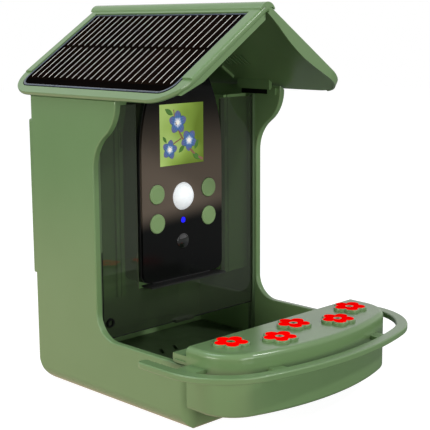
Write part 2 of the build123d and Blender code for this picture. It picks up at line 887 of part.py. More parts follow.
def pir_lens():
    # A domed cap: a slice of a sphere over a short collar, hollow behind.
    height = pir_dome
    ball_r = (pir_r ** 2 + height ** 2) / (2 * height)
    centre_y = module_front_y + ball_r - height
    collar = rod_y(0, pir_z, pir_r, module_front_y, inside_front_y + pir_flange / 2)
    ball = Pos(0, centre_y, pir_z) * Sphere(ball_r)
    dome = ball & rod_y(0, pir_z, pir_r, module_front_y - height - overrun, module_front_y + pir_flange / 2)
    hollow_ball = Pos(0, centre_y, pir_z) * Sphere(ball_r - pir_shell)
    hollow = hollow_ball & rod_y(0, pir_z, pir_r - pir_shell, module_front_y - height, inside_front_y + 2 * overrun)
    hollow = hollow + rod_y(0, pir_z, pir_r - 2 * pir_shell, module_front_y, inside_front_y + 2 * overrun)
    flange = rod_y(0, pir_z, pir_flange_r, inside_front_y, inside_front_y + pir_flange)
    return collar + dome + flange - hollow


def pir_sensor():
    return rod_y(0, pir_z, sensor_r, board_y - sensor_height, board_y)


def status_led():
    return rod_y(0, led_z, led_r, module_front_y + display_sink, board_y)


def camera_lens():
    barrel = rod_y(lens_x, lens_z, lens_r, inside_front_y, board_y)
    return barrel + rod_y(lens_x, lens_z, lens_rim_r, board_y - lens_rim, board_y)


def ir_leds():
    lamps = None
    for index in range(ir_led_count):
        spot = Vector(ir_led_ring_r, 0, 0).rotate(Axis.Z, (index + 1 / 2) * full_turn / ir_led_count)
        lamp = rod_y(lens_x + spot.X, lens_z + spot.Y, ir_led_r, board_y - ir_led_height, board_y)
        lamps = lamp if lamps is None else lamps + lamp
    return lamps


def speaker():
    return rod_y(speaker_x, speaker_z, speaker_r, board_y - speaker_height, board_y)


def microphone():
    return rod_y(mic_x, mic_z, mic_r, board_y - mic_height, board_y)


def battery():
    cell = block((battery_left_x, battery_right_x), (cover_inner_y - battery_thickness, cover_inner_y),
                 (battery_bottom_z, battery_top_z))
    return fillet(cell.edges().filter_by(Axis.Z), battery_edge_r)


def usb_port():
    outer_x = module_half_width - port_sink
    half_y = port_height / 2
    half_z = port_width / 2
    shell_gap = port_height / 8
    body = block((outer_x - port_depth, outer_x), (side_mid_y - half_y, side_mid_y + half_y),
                 (port_z - half_z, port_z + half_z))
    mouth = block((outer_x - port_depth / 2, outer_x + overrun),
                  (side_mid_y - half_y + shell_gap, side_mid_y + half_y - shell_gap),
                  (port_z - half_z + shell_gap, port_z + half_z - shell_gap))
    tongue = block((outer_x - port_depth / 2 - shell_gap, outer_x - port_sink),
                   (side_mid_y - shell_gap, side_mid_y + shell_gap), (port_z - half_z / 2, port_z + half_z / 2))
    return body - mouth + tongue


def usb_flap():
    half = flap_width / 2 - pin_gap
    y_range = (side_mid_y - half, side_mid_y + half)
    barrel = rod_y(flap_hinge_x, flap_hinge_z, flap_barrel_r, *y_range)
    inner_x = module_half_width + fit_gap
    leaf = block((inner_x, inner_x + flap_thickness), y_range, (flap_hinge_z, flap_hinge_z + flap_length))
    bore = rod_y(flap_hinge_x, flap_hinge_z, flap_pin_r + pin_gap, y_range[0] - overrun, y_range[1] + overrun)
    return barrel + leaf - bore


def power_switch():
    half = switch_knob_length / 2
    return block((module_half_width - switch_knob_stem, module_half_width + switch_knob_proud),
                 (side_mid_y - switch_knob_width / 2, side_mid_y + switch_knob_width / 2),
                 (switch_knob_z - half, switch_knob_z + half))


def memory_card():
    outer_x = module_half_width + card_proud
    return block((outer_x - card_length, outer_x),
                 (side_mid_y - card_thickness / 2, side_mid_y + card_thickness / 2),
                 (card_z - card_width / 2, card_z + card_width / 2))


def camera_bracket():
    outer = rail_x + rail_width
    rail_back = rail_front_y + rail_depth
    bar_back = bar_front_y + bar_depth
    side = block((rail_x, outer), (rail_front_y, rail_back), (rail_bottom_z, rail_top_z))
    side = side - block((rail_groove_x, rail_groove_x + rail_groove_width),
                        (rail_front_y - overrun, rail_front_y + rail_groove_depth),
                        (rail_bottom_z - overrun, rail_top_z + overrun))
    side = side - block((rail_slot_x - rail_slot_width / 2, rail_slot_x + rail_slot_width / 2),
                        (rail_front_y - overrun, rail_back + overrun),
                        (rail_slot_low_z, rail_slot_low_z + rail_slot_length))
    side = side + block((outer, inner_w), (rail_back - wing_thickness, rail_back), (rail_bottom_z, rail_top_z))
    for low, height in ((low_bar_z, low_bar_height), (high_bar_z, high_bar_height)):
        side = side + block((rail_x, outer), (rail_back, bar_back), (low, low + height))
        side = side + block((0, outer), (bar_front_y, bar_back), (low, low + height))
    bracket = both_sides(side)
    for x, z in bracket_screw_places():
        bracket = bracket - rod_y(x, z, bracket_screw_r, bar_front_y - overrun, bar_back + overrun)
    return bracket


# Nectar tub, lid, flowers and perch
def d_outline(half_x, back, front, bow_r, corner_r):
    # Straight sides, a square back, a bowed front and rounded front corners.
    drop = bow_r - sqrt(bow_r ** 2 - half_x ** 2)
    corner_y = front + drop
    bow = ThreePointArc((half_x, corner_y), (0, front), (-half_x, corner_y))
    rest = Polyline((-half_x, corner_y), (-half_x, back), (half_x, back), (half_x, corner_y))
    face = make_face(bow + rest)
    front_corners = [corner for corner in face.vertices() if corner.Y < (corner_y + back) / 2]
    return fillet(front_corners, corner_r)


def tub_outline():
    return d_outline(tub_half_width, tub_back_y, tub_front_y, tub_bow_r, tub_corner_r)


def inset_tub(amount):
    return offset(tub_outline(), amount=-amount)


def nectar_tub():
    tub = prism_z(tub_outline(), tub_bottom_z, seam_z)
    low_edges = [edge for edge in tub.edges() if edge.bounding_box().max.Z < tub_bottom_z + tub_wall]
    tub = fillet(low_edges, tub_edge_r)
    tub = tub - prism_z(inset_tub(tub_wall), tub_bottom_z + tub_floor, seam_z + overrun)
    tub = tub - prism_z(inset_tub(gasket_width), seam_z - gasket_height, seam_z + overrun)
    shelf_z = rim_height + hook_gap
    shelf = block((-hook_half_width, hook_half_width), (tub_back_y, hook_back_y), (shelf_z, seam_z))
    wall_lap = block((-hook_block_half_width, hook_block_half_width), (tub_back_y, tub_back_y + gasket_width),
                     (shelf_z, seam_z))
    riser = block((-hook_block_half_width, hook_block_half_width),
                  (tub_back_y + fit_gap, tub_back_y + hook_block_reach), (shelf_z, hook_block_top_z))
    tongue_front = -inner_d + fit_gap
    tongue = block((-tongue_half_width, tongue_half_width), (tongue_front, tongue_front + tongue_thickness),
                   (shelf_z - tongue_length, seam_z))
    return tub + shelf + wall_lap + riser + tongue


def lid_gasket():
    ring = prism_z(inset_tub(gasket_width), seam_z - gasket_height, seam_z)
    return ring - prism_z(inset_tub(tub_wall), seam_z - 2 * gasket_height, seam_z + overrun)


def petals(margin):
    flower = Circle(petal_ring_r)
    for index in range(petal_count):
        tip = Vector(0, petal_ring_r, 0).rotate(Axis.Z, index * full_turn / petal_count)
        flower = flower + Pos(tip.X, tip.Y) * Circle(petal_r - margin)
    return flower


def nectar_lid():
    lid = prism_z(tub_outline(), seam_z, lid_top_z)
    high_edges = [edge for edge in lid.edges()
                  if edge.bounding_box().min.Z > lid_top_z - lid_edge_r / 2
                  and edge.center().Y < tub_back_y - lid_edge_r / 2]
    lid = fillet(high_edges, lid_edge_r)
    lid = lid - prism_z(inset_tub(tub_wall), seam_z - overrun, lid_top_z - tub_wall)
    boss_top = lid_top_z + flower_height
    for x, y in flower_places:
        boss = prism_z(petals(0), lid_top_z - tub_wall / 2, boss_top)
        rim = [edge for edge in boss.edges() if edge.bounding_box().min.Z > boss_top - flower_edge_r / 2]
        lid = lid + Pos(x, y, 0) * fillet(rim, flower_edge_r)
        recess = prism_z(petals(inlay_margin), boss_top + inlay_proud - inlay_thickness, boss_top + overrun)
        eye = rod_z(0, 0, flower_eye_r, seam_z, boss_top)
        lid = lid - Pos(x, y, 0) * (recess - eye)
        lid = lid - rod_z(x, y, flower_port_r, seam_z, boss_top + overrun)
    return lid


def flower(x, y):
    top = lid_top_z + flower_height + inlay_proud
    face = petals(inlay_margin) - Circle(flower_eye_r)
    return Pos(x, y, 0) * prism_z(face, top - inlay_thickness, top)


def perch_face(inset):
    return d_outline(perch_half_width - inset, perch_end_y + overrun * bool(inset), perch_front_y + inset,
                     perch_bow_r - inset, perch_corner_r - inset)


def perch_ring():
    ring = prism_z(perch_face(0), perch_bottom_z, perch_top_z)
    hollow = prism_z(perch_face(perch_width), perch_bottom_z - overrun, perch_top_z + overrun)
    ring = ring - hollow
    tips = [edge for edge in ring.edges().filter_by(Axis.Z) if edge.center().Y > perch_end_y - 2 * perch_edge_r]
    ring = fillet(tips, perch_end_r)
    rims = [edge for edge in ring.edges() if edge.bounding_box().size.Z < perch_edge_r / 4]
    ring = fillet(rims, perch_edge_r)
    webs = block((-perch_half_width + perch_width / 2, perch_half_width - perch_width / 2),
                 (web_side_y - web_side_length / 2, web_side_y + web_side_length / 2), (perch_bottom_z, web_top_z))
    for x in (-web_front_x, web_front_x):
        front_y = perch_front_y + perch_width / 2 + x ** 2 / (2 * perch_bow_r)
        webs = webs + block((x - web_width / 2, x + web_width / 2), (front_y, tub_front_y + tub_corner_r),
                            (perch_bottom_z, web_top_z))
    webs = webs - prism_z(tub_outline(), tub_bottom_z, perch_top_z + overrun)
    return ring + webs


pieces = {
    "body_shell": body_shell,
    "body_hinges": body_hinges,
    "base_insert": base_insert,
    "seed_floor": seed_floor,
    "gate_channel_left": lambda: gate_channel(-1),
    "gate_channel_right": lambda: gate_channel(1),
    "seed_gate": seed_gate,
    "gate_ring": gate_ring,
    "roof_shell": roof_shell,
    "ridge_cap": ridge_cap,
    "solar_panel": solar_panel,
    "roof_skirts": roof_skirts,
    "hinge_pins": hinge_pins,
    "rear_plate": rear_plate,
    "plate_screws": plate_screws,
    "front_window": front_window,
    "module_bezel": module_bezel,
    "module_lip": module_lip,
    "module_housing": module_housing,
    "module_gasket": module_gasket,
    "module_cover": module_cover,
    "cover_screws": cover_screws,
    "camera_bracket": camera_bracket,
    "bracket_screws": bracket_screws,
    "main_board": main_board,
    "display": display,
    "key_switches": key_switches,
    "pir_lens": pir_lens,
    "pir_sensor": pir_sensor,
    "status_led": status_led,
    "camera_lens": camera_lens,
    "ir_leds": ir_leds,
    "speaker": speaker,
    "microphone": microphone,
    "battery": battery,
    "usb_port": usb_port,
    "usb_flap": usb_flap,
    "power_switch": power_switch,
    "memory_card": memory_card,
    "nectar_tub": nectar_tub,
    "lid_gasket": lid_gasket,
    "nectar_lid": nectar_lid,
    "perch_ring": perch_ring,
}

os.makedirs("parts", exist_ok=True)
for name, make in pieces.items():
    export_step(make(), f"parts/{name}.step")
for number, place in enumerate(button_places, 1):
    export_step(button(*place), f"parts/button_{number}.step")
for number, place in enumerate(flower_places, 1):
    export_step(flower(*place), f"parts/flower_{number}.step")
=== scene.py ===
import json
from math import atan, cos, radians, sin
import bmesh
import bpy
import numpy as np
from mathutils import Matrix, Vector


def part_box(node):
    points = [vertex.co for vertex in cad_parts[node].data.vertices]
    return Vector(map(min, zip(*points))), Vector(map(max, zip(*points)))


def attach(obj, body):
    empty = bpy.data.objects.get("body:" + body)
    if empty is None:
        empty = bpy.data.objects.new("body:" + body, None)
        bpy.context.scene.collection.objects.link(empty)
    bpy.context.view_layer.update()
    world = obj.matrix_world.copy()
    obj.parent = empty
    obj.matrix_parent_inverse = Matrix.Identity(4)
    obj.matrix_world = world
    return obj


# Smart bird feeder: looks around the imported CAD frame, which is in metres, +Z up, with the tray facing -Y.
# Numbers for shapes are in millimetres, and those for materials, the camera and the studio in metres.
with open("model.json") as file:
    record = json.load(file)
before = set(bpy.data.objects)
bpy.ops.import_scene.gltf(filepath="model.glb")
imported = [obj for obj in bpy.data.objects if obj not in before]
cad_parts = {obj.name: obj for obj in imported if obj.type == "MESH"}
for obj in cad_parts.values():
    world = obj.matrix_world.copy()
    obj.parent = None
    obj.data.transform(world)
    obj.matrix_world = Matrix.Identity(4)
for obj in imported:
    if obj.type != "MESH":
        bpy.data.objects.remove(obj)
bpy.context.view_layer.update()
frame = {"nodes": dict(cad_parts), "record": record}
nodes = frame["nodes"]
mm = 0.001
print("frame loaded:", len(nodes), "nodes")


def linear(colour):
    # sRGB numbers from 0 to 255 as the linear RGBA that Blender's sockets take
    share = np.array(colour, float) / 255
    low, high = share / 12.92, ((share + 0.055) / 1.055) ** 2.4
    return (*np.where(share <= 0.04045, low, high).tolist(), 1.0)


# Camera, from a fit to the photograph
camera = {"place": (-0.5293, -0.5575, 0.25695), "yaw": 44.688, "pitch": 10.118, "roll": -0.345,
          "lens": 90.45, "sensor": 36.0}


def makeCamera():
    yaw, pitch, roll = (radians(camera[key]) for key in ("yaw", "pitch", "roll"))
    ahead = Vector((sin(yaw) * cos(pitch), cos(yaw) * cos(pitch), -sin(pitch)))
    level = ahead.cross(Vector((0, 0, 1))).normalized()
    upright = level.cross(ahead)
    right = level * cos(roll) + upright * sin(roll)
    up = upright * cos(roll) - level * sin(roll)
    data = bpy.data.cameras.new("camera")
    data.lens = camera["lens"]
    data.sensor_width = camera["sensor"]
    eye = bpy.data.objects.new("camera", data)
    turn = Matrix((right, up, -ahead)).transposed()
    eye.matrix_world = Matrix.Translation(camera["place"]) @ turn.to_4x4()
    bpy.context.scene.collection.objects.link(eye)
    bpy.context.scene.camera = eye


makeCamera()

# Studio: a white world, a pale floor and soft area lamps
studio = {"worldLevel": 0.17, "floorSize": 6.0, "floorColour": (150, 150, 148), "floorGlow": 0.95,
          "cards": ({"colour": (255, 214, 190), "level": 1.25, "x": (-0.02, -0.10), "reach": (1.4, 0.25)},
                    {"colour": (236, 246, 226), "level": 0.14, "x": (-0.02, 0.06), "reach": (0.30, 0.50)})}
lamps = {
    "sideLamp": {"place": (-1.75, 0.25, 0.10), "aim": (0.0, 0.0, 0.12), "size": 1.0, "watts": 27.0,
                 "tint": (1.0, 0.98, 0.90)},
    "frontLamp": {"place": (0.55, -1.15, 1.35), "aim": (0.0, -0.05, 0.05), "size": 0.14, "watts": 9.0,
                  "tint": (0.98, 0.99, 1.0)},
    "lowLamp": {"place": (-0.25, -2.0, 0.22), "aim": (0.0, -0.08, 0.06), "size": 1.0, "watts": 22.0,
                "tint": (0.98, 1.0, 0.97)},
    "topLamp": {"place": (-0.6, 0.5, 1.7), "aim": (0.0, 0.0, 0.2), "size": 1.0, "watts": 14.0,
                "tint": (0.80, 0.93, 1.0)},
}


def newNode(tree, kind, **values):
    node = tree.nodes.new(kind)
    for key, value in values.items():
        setattr(node, key, value)
    return node


def feed(tree, socket, value):
    # A socket takes the output of another socket, or a plain value
    if isinstance(value, bpy.types.NodeSocket):
        tree.links.new(value, socket)
    else:
        socket.default_value = value


def mathNode(tree, operation, *values):
    node = newNode(tree, "ShaderNodeMath", operation=operation)
    for socket, value in zip(node.inputs, values):
        feed(tree, socket, value)
    return node.outputs[0]


def mapRange(tree, value, old=(0.0, 1.0), new=(0.0, 1.0), kind="LINEAR"):
    node = newNode(tree, "ShaderNodeMapRange", interpolation_type=kind)
    feed(tree, node.inputs["Value"], value)
    for name, limit in zip(("From Min", "From Max", "To Min", "To Max"), (*old, *new)):
        feed(tree, node.inputs[name], limit)
    return node.outputs[0]


def mixColours(tree, share, first, second):
    node = newNode(tree, "ShaderNodeMix", data_type="RGBA")
    for name, value in (("Factor", share), ("A", first), ("B", second)):
        feed(tree, node.inputs[name], value)
    return node.outputs["Result"]


def colourRamp(tree, share, stops):
    # Three colours along a share from 0 to 1, each stop a position and a colour
    node = newNode(tree, "ShaderNodeValToRGB")
    elements = node.color_ramp.elements
    (firstAt, first), (middleAt, middle), (lastAt, last) = stops
    elements[0].position, elements[0].color = firstAt, linear(first)
    elements[1].position, elements[1].color = lastAt, linear(last)
    elements.new(middleAt).color = linear(middle)
    tree.links.new(share, node.inputs["Fac"])
    return node.outputs["Color"]


def noiseNode(tree, place, scale, detail):
    node = newNode(tree, "ShaderNodeTexNoise")
    for name, value in (("Vector", place), ("Scale", scale), ("Detail", detail)):
        feed(tree, node.inputs[name], value)
    return node.outputs["Fac"]


def splitAxes(tree, vector):
    node = newNode(tree, "ShaderNodeSeparateXYZ")
    tree.links.new(vector, node.inputs[0])
    return node.outputs


def addShaders(tree, first, second):
    node = newNode(tree, "ShaderNodeAddShader")
    tree.links.new(first, node.inputs[0])
    tree.links.new(second, node.inputs[1])
    return node.outputs[0]


def addCard(tree, below, path, card):
    # A soft-edged card on the floor that only gloss sees: its share runs from 0 to 1 along x and along the distance
    place = newNode(tree, "ShaderNodeTexCoord").outputs["Object"]
    reach = newNode(tree, "ShaderNodeVectorMath", operation="LENGTH")
    tree.links.new(place, reach.inputs[0])
    share = path.outputs["Is Glossy Ray"]
    for source, limits in ((splitAxes(tree, place)["X"], card["x"]), (reach.outputs["Value"], card["reach"])):
        share = mathNode(tree, "MULTIPLY", share, mapRange(tree, source, limits, kind="SMOOTHSTEP"))
    light = newNode(tree, "ShaderNodeEmission")
    light.inputs["Color"].default_value = linear(card["colour"])
    tree.links.new(mathNode(tree, "MULTIPLY", share, card["level"]), light.inputs["Strength"])
    return addShaders(tree, below, light.outputs[0])


def makeWorld():
    # White where the camera, gloss or glass sees it, and a low light on everything else
    world = bpy.data.worlds.new("studio")
    bpy.context.scene.world = world
    world.use_nodes = True
    tree = world.node_tree
    tree.nodes.clear()
    path = newNode(tree, "ShaderNodeLightPath")
    seen = path.outputs["Is Camera Ray"]
    for ray in ("Is Glossy Ray", "Is Transmission Ray"):
        seen = mathNode(tree, "MAXIMUM", seen, path.outputs[ray])
    glow = newNode(tree, "ShaderNodeBackground")
    glow.inputs["Color"].default_value = (1, 1, 1, 1)
    tree.links.new(mapRange(tree, seen, new=(studio["worldLevel"], 1.0)), glow.inputs["Strength"])
    out = newNode(tree, "ShaderNodeOutputWorld")
    tree.links.new(glow.outputs[0], out.inputs["Surface"])


def makeFloor():
    # Pale paper that also glows for the camera, with the cards added
    half = studio["floorSize"] / 2
    mesh = bpy.data.meshes.new("floor")
    mesh.from_pydata([(-half, -half, 0), (half, -half, 0), (half, half, 0), (-half, half, 0)], [], [(0, 1, 2, 3)])
    floor = bpy.data.objects.new("floor", mesh)
    bpy.context.scene.collection.objects.link(floor)
    material = bpy.data.materials.new("floorPaper")
    material.use_nodes = True
    tree = material.node_tree
    tree.nodes.clear()
    paper = newNode(tree, "ShaderNodeBsdfDiffuse")
    paper.inputs["Color"].default_value = linear(studio["floorColour"])
    light = newNode(tree, "ShaderNodeEmission")
    path = newNode(tree, "ShaderNodeLightPath")
    glow = mapRange(tree, path.outputs["Is Camera Ray"], new=(0.0, studio["floorGlow"]))
    tree.links.new(glow, light.inputs["Strength"])
    whole = addShaders(tree, paper.outputs[0], light.outputs[0])
    for card in studio["cards"]:
        whole = addCard(tree, whole, path, card)
    out = newNode(tree, "ShaderNodeOutputMaterial")
    tree.links.new(whole, out.inputs["Surface"])
    mesh.materials.append(material)


def makeLamps():
    for name, lamp in lamps.items():
        data = bpy.data.lights.new(name, "AREA")
        data.shape = "SQUARE"
        data.size = lamp["size"]
        data.energy = lamp["watts"]
        data.color = lamp["tint"]
        lampObject = bpy.data.objects.new(name, data)
        aim = Vector(lamp["aim"]) - Vector(lamp["place"])
        turn = aim.to_track_quat("-Z", "Y").to_matrix().to_4x4()
        lampObject.matrix_world = Matrix.Translation(lamp["place"]) @ turn
        bpy.context.scene.collection.objects.link(lampObject)


makeWorld()
makeFloor()
makeLamps()
bpy.context.scene.view_settings.view_transform = "Standard"
print("studio made")


# Material group: moulded plastic with a faint mottle, a fine grain and uneven gloss. Each noise has a scale and
# a detail.
skinNoise = {"mottle": (26.0, 3.0), "smear": (90.0, 4.0), "grain": (1400.0, 2.0), "mottleSpread": (0.32, 0.68),
             "glossSpread": (0.3, 0.7), "bumpDepth": 0.05}


def groupSocket(group, name, way, kind="NodeSocketFloat", value=None):
    socket = group.interface.new_socket(name, in_out=way, socket_type=kind)
    if value is not None:
        socket.default_value = value


def makeSkinGroup():
    group = bpy.data.node_groups.new("mouldedSkin", "ShaderNodeTree")
    groupSocket(group, "Vector", "INPUT", "NodeSocketVector")
    groupSocket(group, "Colour", "INPUT", "NodeSocketColor")
    groupSocket(group, "Faded", "INPUT", "NodeSocketColor")
    groupSocket(group, "Gloss low", "INPUT", value=0.3)
    groupSocket(group, "Gloss high", "INPUT", value=0.4)
    groupSocket(group, "Colour", "OUTPUT", "NodeSocketColor")
    groupSocket(group, "Roughness", "OUTPUT")
    groupSocket(group, "Height", "OUTPUT")
    inn, out = newNode(group, "NodeGroupInput"), newNode(group, "NodeGroupOutput")
    mottle, smear, grain = (noiseNode(group, inn.outputs["Vector"], *skinNoise[key])
                            for key in ("mottle", "smear", "grain"))
    fade = mapRange(group, mottle, skinNoise["mottleSpread"])
    colour = mixColours(group, fade, inn.outputs["Colour"], inn.outputs["Faded"])
    gloss = mapRange(group, smear, skinNoise["glossSpread"], (inn.outputs["Gloss low"], inn.outputs["Gloss high"]))
    for name, value in (("Colour", colour), ("Roughness", gloss), ("Height", grain)):
        group.links.new(value, out.inputs[name])
    return group


skinGroup = makeSkinGroup()


def startMaterial(name):
    material = bpy.data.materials.new(name)
    material.use_nodes = True
    tree = material.node_tree
    shader = tree.nodes["Principled BSDF"]
    place = newNode(tree, "ShaderNodeTexCoord")
    return material, tree, shader, place.outputs["Object"]


def addSkin(tree, shader, place, colour, faded, gloss):
    # The skin group in a material, which gives it the colour and the roughness
    skin = newNode(tree, "ShaderNodeGroup", node_tree=skinGroup)
    for name, value in (("Vector", place), ("Colour", colour), ("Faded", faded),
                        ("Gloss low", gloss[0]), ("Gloss high", gloss[1])):
        feed(tree, skin.inputs[name], value)
    tree.links.new(skin.outputs["Colour"], shader.inputs["Base Color"])
    tree.links.new(skin.outputs["Roughness"], shader.inputs["Roughness"])
    return skin


def skinMaterial(name, colour, faded, gloss, grain=0.15, **sockets):
    # A moulded or coated surface: colour mottle, fine grain bump and a roughness that varies
    material, tree, shader, place = startMaterial(name)
    skin = addSkin(tree, shader, place, linear(colour), linear(faded), gloss)
    bump = newNode(tree, "ShaderNodeBump")
    bump.inputs["Strength"].default_value = grain
    bump.inputs["Distance"].default_value = skinNoise["bumpDepth"] * mm
    tree.links.new(skin.outputs["Height"], bump.inputs["Height"])
    tree.links.new(bump.outputs[0], shader.inputs["Normal"])
    for socket, value in sockets.items():
        shader.inputs[socket].default_value = value
    return material


def setFinish(name, material):
    for slot in nodes[name].material_slots:
        slot.material = material


finishes = {
    "green_abs": skinMaterial("greenPlastic", (114, 143, 96), (112, 141, 94), (0.20, 0.24), 0.06,
                              **{"Specular IOR Level": 0.4}),
    "dark_green_abs": skinMaterial("darkGreenPlastic", (58, 72, 50), (54, 68, 46), (0.32, 0.42)),
    "button_green": skinMaterial("keyPlastic", (132, 162, 108), (126, 156, 102), (0.40, 0.50), 0.4),
    "black_plastic": skinMaterial("blackPlastic", (24, 24, 25), (20, 20, 20), (0.34, 0.44), 0.03),
    "black_window": skinMaterial("blackWindow", (30, 28, 28), (26, 25, 26), (0.10, 0.14), 0.02,
                                 **{"Specular IOR Level": 0.15}),
    "smoked_clear": skinMaterial("smokedClear", (106, 117, 96), (102, 113, 92), (0.02, 0.04), 0.01,
                                 **{"Transmission Weight": 0.85, "IOR": 1.45}),
    "solar_glass": skinMaterial("solarGlass", (14, 10, 8), (10, 8, 8), (0.10, 0.14), 0.02,
                                **{"Specular IOR Level": 0.0}),
    "display_glass": skinMaterial("displayGlass", (12, 12, 12), (16, 16, 16), (0.06, 0.10), 0.02),
    # The white dome glows a little: painted light that keeps it bright white under the roof
    "white_dome": skinMaterial("whiteDome", (244, 247, 250), (236, 240, 245), (0.30, 0.38), 0.3,
                               **{"Emission Color": (0.94, 0.97, 1.0, 1.0), "Emission Strength": 0.35}),
    "blue_led": skinMaterial("blueLamp", (20, 20, 255), (10, 10, 240), (0.15, 0.2), 0.05,
                             **{"Emission Color": (0.01, 0.01, 1.0, 1.0), "Emission Strength": 0.6}),
    "lens_barrel": skinMaterial("lensBarrel", (18, 18, 22), (14, 14, 18), (0.12, 0.18), 0.05),
    "circuit_board": skinMaterial("circuitBoard", (24, 70, 40), (20, 62, 36), (0.30, 0.40)),
    "battery_wrap": skinMaterial("batteryWrap", (60, 90, 150), (56, 84, 140), (0.25, 0.35)),
    "rubber": skinMaterial("rubberSeal", (28, 28, 28), (34, 34, 34), (0.6, 0.75), 0.5),
    "brass": skinMaterial("brass", (190, 160, 90), (180, 150, 84), (0.25, 0.4), 0.1, Metallic=1.0),
    "steel": skinMaterial("steel", (175, 175, 178), (160, 160, 164), (0.25, 0.4), 0.1, Metallic=1.0),
    # The red flowers glow a little: painted light that keeps their red full where little light falls
    "flower_red": skinMaterial("flowerRed", (255, 2, 2), (246, 0, 0), (0.45, 0.55), 0.1,
                               **{"Specular IOR Level": 0.0, "Emission Color": (1.0, 0.0, 0.0, 1.0),
                                  "Emission Strength": 0.38}),
}
slotOf = {part["node"]: part["material_slot"] for part in frame["record"]["subparts"]}
for name in nodes:
    setFinish(name, finishes[slotOf[name]])
# The module's case is a paler black than its front, the gate's ring a deeper one, and the channels a mid green
caseGrey = skinMaterial("caseGrey", (66, 66, 54), (60, 60, 50), (0.34, 0.44), 0.03)
trimBlack = skinMaterial("trimBlack", (10, 10, 10), (7, 7, 7), (0.5, 0.6), 0.03, **{"Specular IOR Level": 0.1})
channelGreen = skinMaterial("channelGreen", (81, 101, 70), (77, 97, 67), (0.32, 0.42), 0.06)
for name, finish in (("module_housing", caseGrey), ("gate_ring", trimBlack),
                     ("gate_channel_left", channelGreen), ("gate_channel_right", channelGreen)):
    setFinish(name, finish)
nodes["seed_gate"].visible_shadow = False  # clear plastic lets the lamps' light through
print("finishes set")


# Surfaces. A surface is a grid of points: rows of sections, each section a closed line of points.
def addPiece(name, points, faces, material, body, smooth=True, uv=None):
    # A mesh that rides on a body, with its faces turned outwards
    mesh = bpy.data.meshes.new(name)
    mesh.from_pydata(points.tolist(), [], faces)
    if uv is not None:
        corners = np.zeros(len(mesh.loops), np.int32)
        mesh.loops.foreach_get("vertex_index", corners)
        layer = mesh.uv_layers.new(name="UVMap")
        layer.data.foreach_set("uv", uv[corners].astype(np.float32).ravel())
    shape = bmesh.new()
    shape.from_mesh(mesh)
    bmesh.ops.recalc_face_normals(shape, faces=shape.faces)
    shape.to_mesh(mesh)
    shape.free()
    mesh.materials.append(material)
    mesh.polygons.foreach_set("use_smooth", np.full(len(mesh.polygons), smooth))
    piece = bpy.data.objects.new(name, mesh)
    bpy.context.scene.collection.objects.link(piece)
    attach(piece, body)


def gridFaces(rows, columns, closedRows=False, start=0):
    # Quads between neighbouring points of a rows x columns grid, whose columns close on themselves
    lastRow = rows if closedRows else rows - 1
    row, column = np.meshgrid(np.arange(lastRow), np.arange(columns), indexing="ij")
    rowNext, columnNext = (row + 1) % rows, (column + 1) % columns
    quads = np.stack([row * columns + column, row * columns + columnNext,
                      rowNext * columns + columnNext, rowNext * columns + column], -1).reshape(-1, 4) + start
    return quads.tolist()


def cappedGrids(rows, sides, count=1):
    # Faces of solid grids that follow one another: the quads, and a cap on the first and the last row
    faces = []
    for start in range(0, count * rows * sides, rows * sides):
        last = start + (rows - 1) * sides
        faces += gridFaces(rows, sides, start=start)
        faces += [list(range(start, start + sides))[::-1], list(range(last, last + sides))]
    return faces


def joinForms(forms):
    # Several forms as one: their points in a row, and their faces counted on
    points, faces, count = [], [], 0
    for formPoints, formFaces in forms:
        faces += [[index + count for index in face] for face in formFaces]
        points.append(formPoints)
        count += len(formPoints)
    return np.concatenate(points), faces


def lensBars(starts, ends, across, normal, width, height, sides=8):
    # Bars of a flat oval section: point = start + t (end - start) + across w/2 cos(a) + normal h/2 (1 + sin(a)),
    # drawn in to about a third of the width at both ends
    turn = np.linspace(0, 2 * np.pi, sides, endpoint=False)
    along = np.array([0.0, 0.006, 0.994, 1.0])
    swell = np.array([0.35, 1.0, 1.0, 0.35])
    span = (ends - starts)[:, None, None, :]
    points = starts[:, None, None, :] + along[None, :, None, None] * span
    points = points + swell[None, :, None, None] * width / 2 * np.cos(turn)[None, None, :, None] * across
    points = points + height / 2 * (1 + np.sin(turn))[None, None, :, None] * normal
    return points.reshape(-1, 3), cappedGrids(len(along), sides, len(starts))


def plate(outline, normal, thickness):
    # A closed slab: the outline's points, and the same points moved along the normal
    points = np.concatenate([outline, outline + np.asarray(normal) * thickness])
    return points, cappedGrids(2, len(outline))


def closedTube(path, outward, upward, width, height, sides=10):
    # A bead along a closed line: point = path + outward w/2 cos(a) + upward h/2 (1 + sin(a))
    turn = np.linspace(0, 2 * np.pi, sides, endpoint=False)
    points = path[:, None, :] + outward[:, None, :] * (width / 2 * np.cos(turn))[None, :, None]
    points = points + upward * (height / 2 * (1 + np.sin(turn)))[None, :, None]
    return points.reshape(-1, 3), gridFaces(len(path), sides, closedRows=True)


def roundedLoop(corners, steps):
    # Points round a flat polygon whose corners are (u, v, radius): each corner is an arc that touches both sides
    corners = np.array(corners, float)
    places, radii = corners[:, :2], corners[:, 2]
    before = np.roll(places, 1, 0) - places
    after = np.roll(places, -1, 0) - places
    before /= np.linalg.norm(before, axis=1, keepdims=True)
    after /= np.linalg.norm(after, axis=1, keepdims=True)
    half = np.arccos(np.clip((before * after).sum(1), -1, 1)) / 2
    middle = before + after
    middle /= np.linalg.norm(middle, axis=1, keepdims=True)
    centre = places + middle * (radii / np.sin(half))[:, None]
    share = np.linspace(-1, 1, steps)
    swing = (np.pi / 2 - half)[:, None] * share[None, :]
    side = after - middle * (after * middle).sum(1)[:, None]
    side /= np.linalg.norm(side, axis=1, keepdims=True)
    arc = -middle[:, None, :] * np.cos(swing)[..., None] + side[:, None, :] * np.sin(swing)[..., None]
    return (centre[:, None, :] + arc * radii[:, None, None]).reshape(-1, 2)


